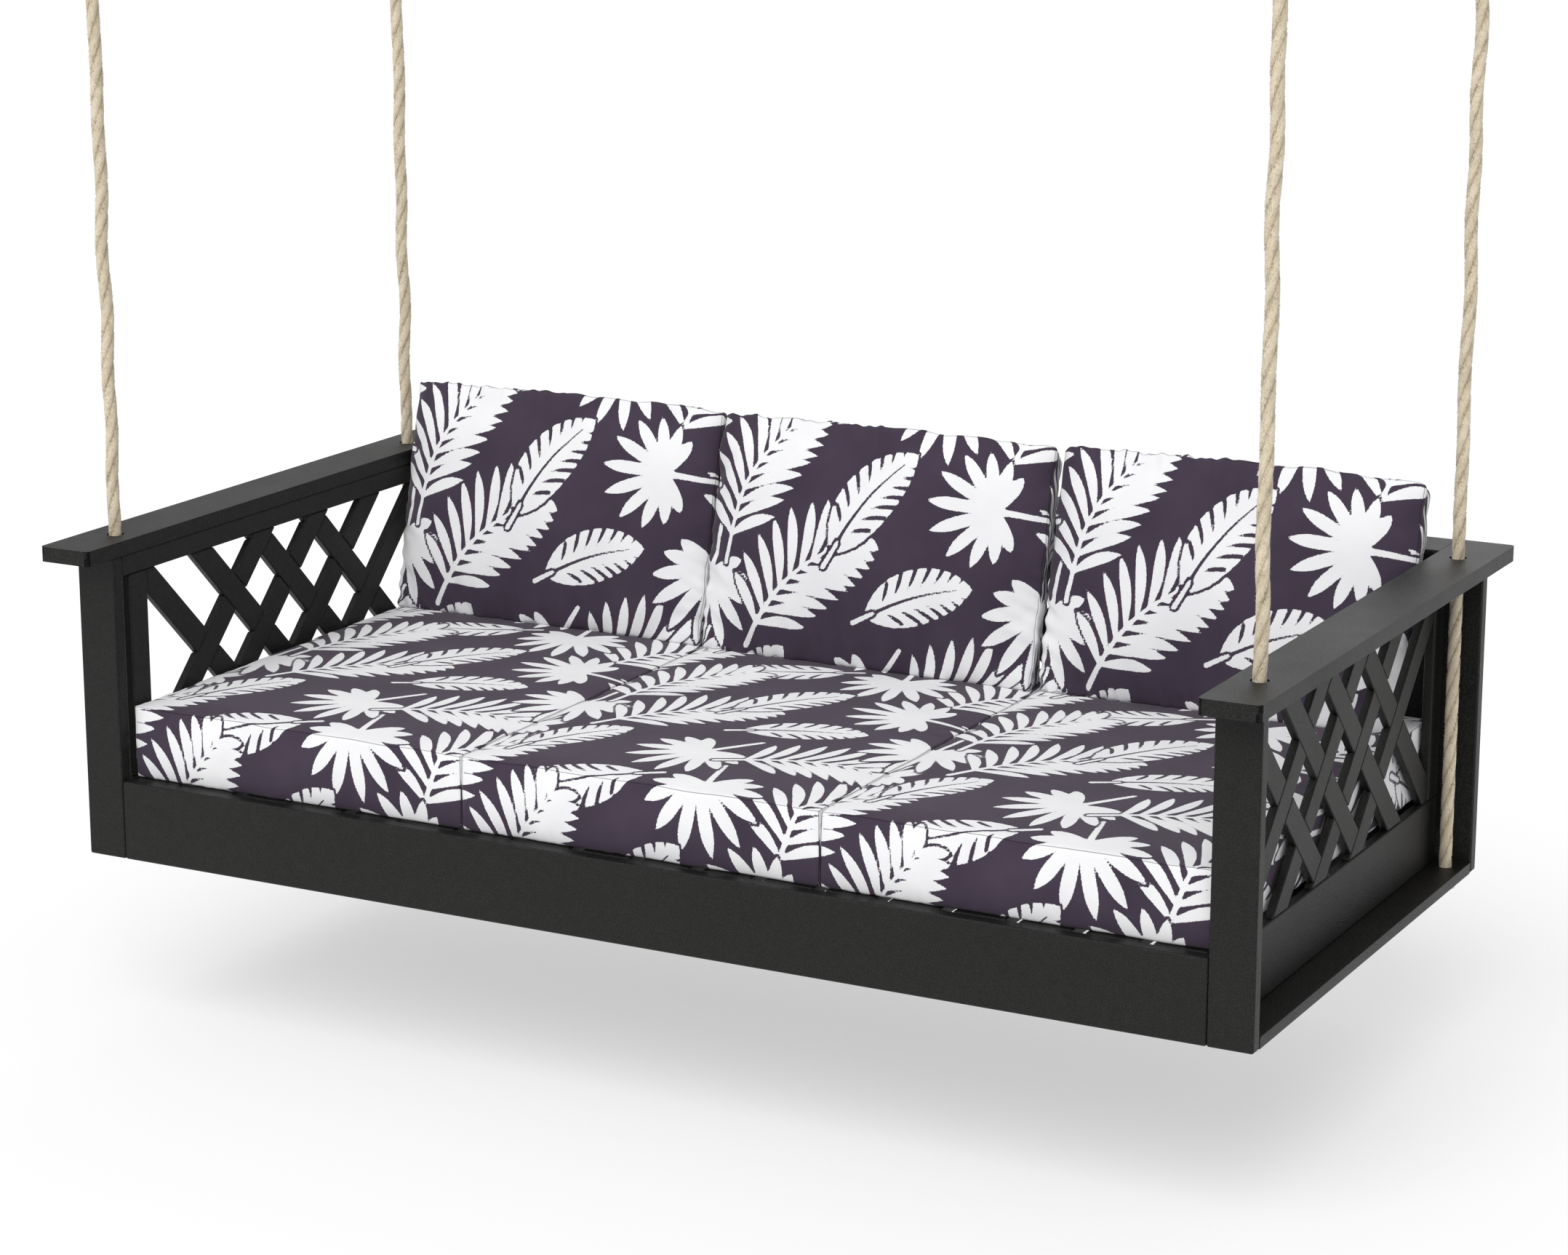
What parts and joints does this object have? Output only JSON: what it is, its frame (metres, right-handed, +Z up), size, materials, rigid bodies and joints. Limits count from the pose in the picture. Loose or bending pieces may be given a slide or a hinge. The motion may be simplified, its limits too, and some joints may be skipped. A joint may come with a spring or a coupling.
{
  "type": "porch swing seat",
  "caption": "Daybed porch swing: a flat plank frame with woven lattice sides and back, loose seat and back cushions, hung from ceiling hangers by ropes through the arms.",
  "frame": {"origin": "on the ceiling plane, at the middle of the four hanger studs", "axes": "+X to the right seen from the front, along the seat; +Y to the back; +Z up, out of the studs"},
  "size_m": [2.21, 1.182, 1.827],
  "materials": {
    "frame_plank": "fine grained, matt, charcoal black",
    "deck_plank": "fine grained, matt, charcoal black",
    "cushion_cloth": null,
    "rope_fibre": "three-strand twisted fibre, hairy, light tan",
    "zinc_steel": "zinc plated",
    "hanger_steel": "galvanised"
  },
  "bodies": {
    "ceiling": {"front_left_hanger": "hanger_steel", "front_right_hanger": "hanger_steel", "back_left_hanger": "hanger_steel", "back_right_hanger": "hanger_steel"},
    "front_left_rope": {"front_left_rope": "rope_fibre", "front_left_thimble": "zinc_steel"},
    "front_right_rope": {"front_right_rope": "rope_fibre", "front_right_thimble": "zinc_steel"},
    "back_left_rope": {"back_left_rope": "rope_fibre", "back_left_thimble": "zinc_steel"},
    "back_right_rope": {"back_right_rope": "rope_fibre", "back_right_thimble": "zinc_steel"},
    "seat": {"front_left_post": "frame_plank", "front_right_post": "frame_plank", "back_left_post": "frame_plank", "back_right_post": "frame_plank", "front_rail": "frame_plank", "back_rail": "frame_plank", "back_top_rail": "frame_plank", "back_upper_rail": "frame_plank", "left_arm": "frame_plank", "right_arm": "frame_plank", "left_upper_rail": "frame_plank", "right_upper_rail": "frame_plank", "left_lower_rail": "frame_plank", "right_lower_rail": "frame_plank", "front_left_stile": "frame_plank", "front_right_stile": "frame_plank", "back_left_stile": "frame_plank", "back_right_stile": "frame_plank", "back_panel_left_stile": "frame_plank", "back_panel_right_stile": "frame_plank", "left_rising_slats": "frame_plank", "left_falling_slats": "frame_plank", "right_rising_slats": "frame_plank", "right_falling_slats": "frame_plank", "back_rising_slats": "frame_plank", "back_falling_slats": "frame_plank", "left_base_board": "frame_plank", "right_base_board": "frame_plank", "front_ledger": "deck_plank", "back_ledger": "deck_plank", "middle_joist": "deck_plank", "deck_boards": "deck_plank", "left_seat_cushion": "cushion_cloth", "middle_seat_cushion": "cushion_cloth", "right_seat_cushion": "cushion_cloth", "left_back_cushion": "cushion_cloth", "middle_back_cushion": "cushion_cloth", "right_back_cushion": "cushion_cloth", "front_left_lower_rope": "rope_fibre", "front_right_lower_rope": "rope_fibre", "back_left_lower_rope": "rope_fibre", "back_right_lower_rope": "rope_fibre", "rope_washers": "zinc_steel", "rope_ferrules": "zinc_steel", "base_screws": "zinc_steel"}
  },
  "joints": [
    {"name": "swing", "type": "hinge", "parent": "ceiling", "child": "front_left_rope", "pos_m": [-1.0495, -0.455, -0.05], "axis": [1, 0, 0], "range_deg": [-20, 20]},
    {"name": "seat_on_front_left_rope", "type": "hinge", "parent": "front_left_rope", "child": "seat", "pos_m": [-1.0495, -0.455, -1.19], "axis": [1, 0, 0], "range_deg": [-20, 20]},
    {"name": "front_right_rope_on_seat", "type": "hinge", "parent": "seat", "child": "front_right_rope", "pos_m": [1.0495, -0.455, -1.19], "axis": [1, 0, 0], "range_deg": [-20, 20]},
    {"name": "back_left_rope_on_seat", "type": "hinge", "parent": "seat", "child": "back_left_rope", "pos_m": [-1.0495, 0.455, -1.19], "axis": [1, 0, 0], "range_deg": [-20, 20]},
    {"name": "back_right_rope_on_seat", "type": "hinge", "parent": "seat", "child": "back_right_rope", "pos_m": [1.0495, 0.455, -1.19], "axis": [1, 0, 0], "range_deg": [-20, 20]}
  ],
  "couplings": [
    {"joint": "seat_on_front_left_rope", "follows": "swing", "ratio": -1},
    {"joint": "front_right_rope_on_seat", "follows": "swing", "ratio": 1},
    {"joint": "back_left_rope_on_seat", "follows": "swing", "ratio": 1},
    {"joint": "back_right_rope_on_seat", "follows": "swing", "ratio": 1}
  ]
}
